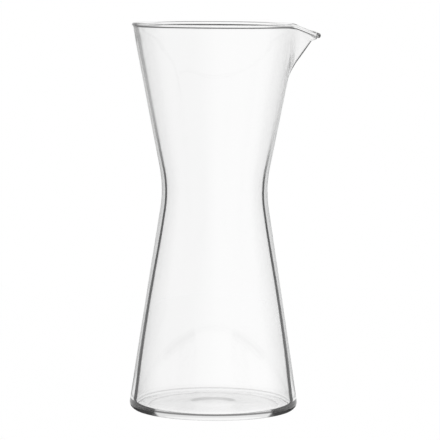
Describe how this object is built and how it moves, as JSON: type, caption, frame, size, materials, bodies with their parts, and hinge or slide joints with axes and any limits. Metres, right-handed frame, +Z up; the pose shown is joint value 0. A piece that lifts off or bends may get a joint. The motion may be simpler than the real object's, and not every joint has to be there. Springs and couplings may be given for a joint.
{
  "type": "glass carafe",
  "caption": "Clear blown-glass carafe: a tapering body, a narrow waist to grip, a funnel mouth and a pulled pouring lip.",
  "frame": {"origin": "middle of the foot's flat ring, on the surface that the carafe stands on and on the axis of the body", "axes": "+Z up along the axis of the body, +X towards the pouring lip"},
  "size_m": [0.1076, 0.0952, 0.22],
  "materials": {
    "clear_glass": "clear, fire polished, smooth inside and out"
  },
  "bodies": {
    "root": {"glass_vessel": "clear_glass"}
  },
  "joints": []
}
